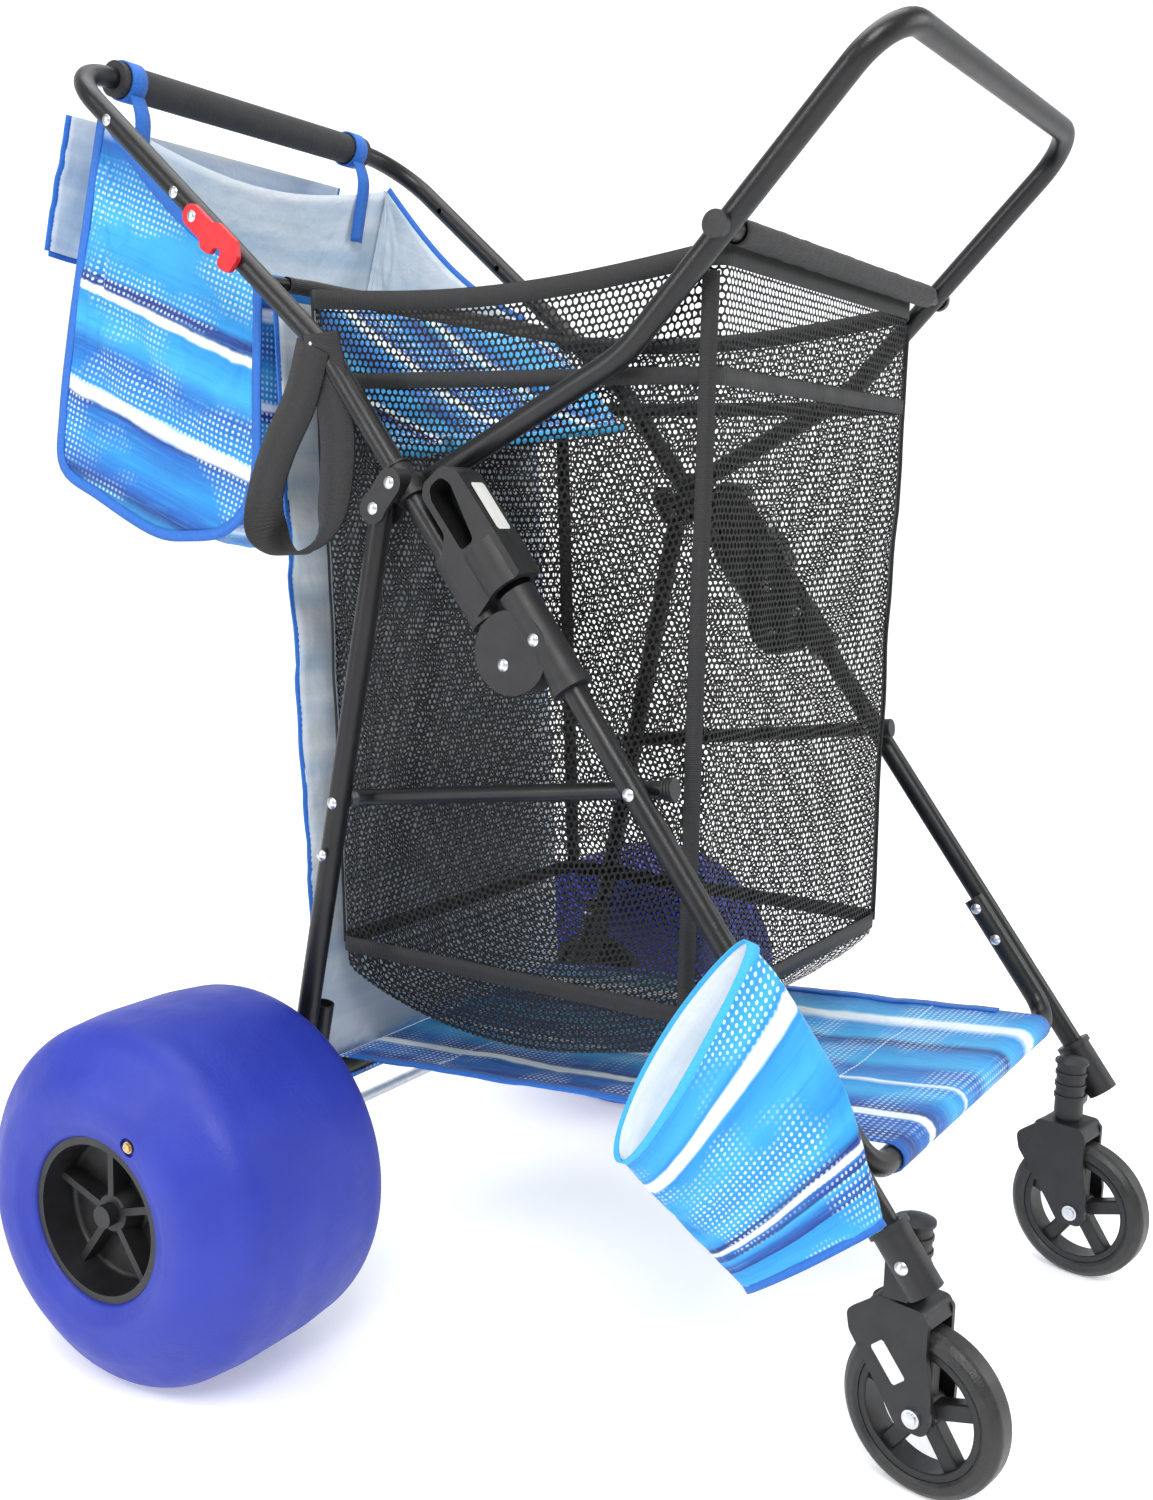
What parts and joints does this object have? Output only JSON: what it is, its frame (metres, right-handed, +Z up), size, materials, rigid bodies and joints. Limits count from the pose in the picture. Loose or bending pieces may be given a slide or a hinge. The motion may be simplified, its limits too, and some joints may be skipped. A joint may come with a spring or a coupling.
{
  "type": "folding beach cart",
  "caption": "Folding tube-frame beach cart: mesh basket, rear storage bag, cloth shelf, side pouch, balloon rear wheels and swivel front casters.",
  "frame": {"origin": "on the floor, under the middle of the whole cart's bounding box", "axes": "+Z up, +Y towards the handle, -X is the right-hand side of a person pushing the cart"},
  "size_m": [0.959, 1.0006, 1.1012],
  "materials": {
    "frame_black": "satin black powder coat on steel tube",
    "moulded_black": "moulded black plastic, fine grain",
    "rivet_steel": "bright zinc plated steel",
    "axle_steel": "bright drawn steel rod",
    "foam_black": "closed-cell foam",
    "hook_red": "moulded red plastic",
    "tyre_blue": "soft blue blown polyurethane, faint flow marks",
    "tread_black": "solid black rubber",
    "valve_brass": "bare brass",
    "mesh_black": "open hexagonal knitted mesh with bound edges",
    "webbing_black": "woven webbing",
    "printed_blue": "woven polyester printed in blue, white and navy bands, white back"
  },
  "bodies": {
    "front_frame": {"front_leg_right": "frame_black", "front_leg_left": "frame_black", "hinge_housing_right": "moulded_black", "hinge_housing_left": "moulded_black", "hinge_rivets": "rivet_steel", "shelf_front_tube": "frame_black", "front_leg_rivets": "rivet_steel", "caster_housing_right": "moulded_black", "caster_housing_left": "moulded_black", "caster_caps": "moulded_black", "shelf_cloth": "printed_blue", "drink_pouch": "printed_blue"},
    "handle_frame": {"handle_tube": "frame_black", "foam_grip": "foam_black", "bracket_right": "moulded_black", "bracket_left": "moulded_black", "bracket_rivets": "rivet_steel", "handle_rivets": "rivet_steel", "basket_rear_bar": "frame_black", "bag_rings": "rivet_steel", "storage_bag": "printed_blue", "bag_rear_flap": "printed_blue", "bag_front_flap": "printed_blue", "carry_strap": "webbing_black"},
    "rear_frame": {"rear_leg_right": "frame_black", "rear_leg_left": "frame_black", "shelf_rear_tube": "frame_black", "rear_rivets": "rivet_steel", "catch_stud": "rivet_steel", "axle_rod": "axle_steel", "axle_caps": "moulded_black", "axle_spacers": "rivet_steel", "rear_panel": "printed_blue"},
    "braces": {"brace_right": "frame_black", "brace_left": "frame_black", "brace_caps": "moulded_black", "brace_rivets": "rivet_steel"},
    "top_frame": {"top_tube": "frame_black", "top_end_caps": "moulded_black", "basket_front_bar": "frame_black", "basket_bar_caps": "moulded_black", "mesh_basket": "mesh_black"},
    "lock_right": {"lock_sleeve_right": "moulded_black"},
    "lock_left": {"lock_sleeve_left": "moulded_black"},
    "catch_hook": {"catch_hook": "hook_red"},
    "caster_swivel_right": {"caster_fork_right": "moulded_black", "caster_axle_right": "rivet_steel"},
    "caster_wheel_right": {"caster_rim_right": "moulded_black", "caster_tyre_right": "tread_black"},
    "rear_wheel_right": {"balloon_tyre_right": "tyre_blue", "wheel_hub_right": "moulded_black", "valve_right": "valve_brass"},
    "caster_swivel_left": {"caster_fork_left": "moulded_black", "caster_axle_left": "rivet_steel"},
    "caster_wheel_left": {"caster_rim_left": "moulded_black", "caster_tyre_left": "tread_black"},
    "rear_wheel_left": {"balloon_tyre_left": "tyre_blue", "wheel_hub_left": "moulded_black", "valve_left": "valve_brass"}
  },
  "joints": [
    {"name": "handle_fold", "type": "hinge", "parent": "front_frame", "child": "handle_frame", "pos_m": [0, -0.0788, 0.5812], "axis": [-1, 0, 0], "range_deg": [0, 126], "deforming": ["mesh_basket", "storage_bag", "bag_rear_flap", "bag_front_flap", "rear_panel", "shelf_cloth", "carry_strap"]},
    {"name": "rear_leg_fold", "type": "hinge", "parent": "handle_frame", "child": "rear_frame", "pos_m": [0, 0.04546, 0.6974], "axis": [-1, 0, 0], "range_deg": [-81.5, 0]},
    {"name": "brace_fold", "type": "hinge", "parent": "front_frame", "child": "braces", "pos_m": [0, -0.19138, 0.49263], "axis": [-1, 0, 0], "range_deg": [0, 84.5]},
    {"name": "top_frame_fold", "type": "hinge", "parent": "handle_frame", "child": "top_frame", "pos_m": [0, 0.02923, 0.71799], "axis": [-1, 0, 0], "range_deg": [0, 97]},
    {"name": "lock_slide_right", "type": "slide", "parent": "handle_frame", "child": "lock_right", "axis": [0, 0.6198, 0.7848], "range_m": [0, 0.045]},
    {"name": "lock_slide_left", "type": "slide", "parent": "handle_frame", "child": "lock_left", "axis": [0, 0.6198, 0.7848], "range_m": [0, 0.045]},
    {"name": "hook_swing", "type": "hinge", "parent": "handle_frame", "child": "catch_hook", "pos_m": [-0.256, 0.24744, 0.93531], "axis": [1, 0, 0], "range_deg": [0, 60]},
    {"name": "caster_swivel_right", "type": "hinge", "parent": "front_frame", "child": "caster_swivel_right", "pos_m": [-0.2073, -0.4178, 0.17], "axis": [0, 0, 1], "continuous": true},
    {"name": "caster_swivel_left", "type": "hinge", "parent": "front_frame", "child": "caster_swivel_left", "pos_m": [0.2073, -0.4178, 0.17], "axis": [0, 0, 1], "continuous": true},
    {"name": "caster_roll_right", "type": "hinge", "parent": "caster_swivel_right", "child": "caster_wheel_right", "pos_m": [-0.21027, -0.43555, 0.0646], "axis": [0.9863, -0.165, 0], "continuous": true},
    {"name": "caster_roll_left", "type": "hinge", "parent": "caster_swivel_left", "child": "caster_wheel_left", "pos_m": [0.20433, -0.43555, 0.0646], "axis": [0.9863, -0.165, 0], "continuous": true},
    {"name": "wheel_roll_right", "type": "hinge", "parent": "rear_frame", "child": "rear_wheel_right", "pos_m": [-0.3721, 0.14201, 0.14984], "axis": [1, 0, 0], "continuous": true},
    {"name": "wheel_roll_left", "type": "hinge", "parent": "rear_frame", "child": "rear_wheel_left", "pos_m": [0.3721, 0.14201, 0.14984], "axis": [1, 0, 0], "continuous": true}
  ],
  "couplings": [
    {"joint": "rear_leg_fold", "follows": "handle_fold", "ratio": -0.6446},
    {"joint": "brace_fold", "follows": "handle_fold", "ratio": 0.6692}
  ]
}
